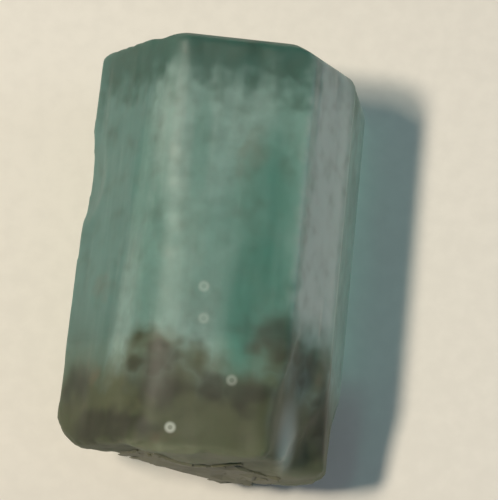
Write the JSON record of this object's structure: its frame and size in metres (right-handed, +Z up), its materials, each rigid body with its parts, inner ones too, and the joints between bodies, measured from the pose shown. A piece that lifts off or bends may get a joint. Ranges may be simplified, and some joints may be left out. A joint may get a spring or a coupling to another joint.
{
  "type": "raw emerald crystal",
  "caption": "Raw emerald crystal: a hexagonal prism lying on one side, with a flat growth end, low ledges along its sides, a chipped shoulder and a rough broken end, where the mica that it grew round shows.",
  "frame": {"origin": "centre of the crystal's bounding box, on the plane of the flat prism side that it rests on", "axes": "+Y along the prism towards its growth end, +Z up from the side that it rests on, +X towards the side with the truncated corner"},
  "size_m": [0.0128, 0.019, 0.0116],
  "materials": {
    "emerald": "translucent milky green, glassy on the prism sides, duller on the break",
    "mica": "dark flakes enclosed near the break"
  },
  "bodies": {
    "root": {"emerald_crystal": "emerald", "mica_cluster": "mica"}
  },
  "joints": []
}
